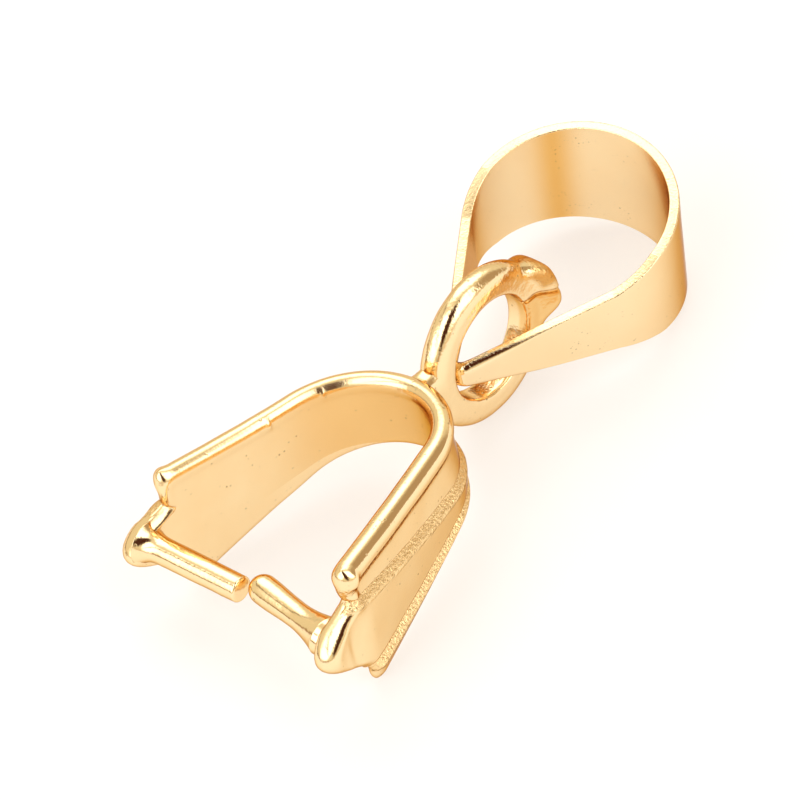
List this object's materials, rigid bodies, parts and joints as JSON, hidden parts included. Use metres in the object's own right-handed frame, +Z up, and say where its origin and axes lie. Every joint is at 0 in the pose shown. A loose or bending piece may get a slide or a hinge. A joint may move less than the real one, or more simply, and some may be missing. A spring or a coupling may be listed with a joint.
{
  "type": "pinch bail",
  "caption": "Gold pinch bail: a cast fluted clip with inward pins and an eyelet ring, and a folded strip loop that hangs in the ring.",
  "frame": {"origin": "on the surface the object lies on, under the middle of its length and, within half a millimetre, of its width", "axes": "+X along the pins to the right arm, +Y from the pins to the bail, +Z up from the surface"},
  "size_m": [0.0096, 0.0218, 0.0057],
  "materials": {
    "cast_gold": "polished gold plating on a casting",
    "strip_gold": "bright gold plating on sheared sheet"
  },
  "bodies": {
    "body": {"pinch_body": "cast_gold"},
    "bail": {"bail_loop": "strip_gold"}
  },
  "joints": [
    {"name": "bail_swing", "type": "hinge", "parent": "body", "child": "bail", "pos_m": [0, 0.00136, 0.00278], "axis": [0.1036, 0.0454, 0.9936], "range_deg": [-22, 20]}
  ]
}
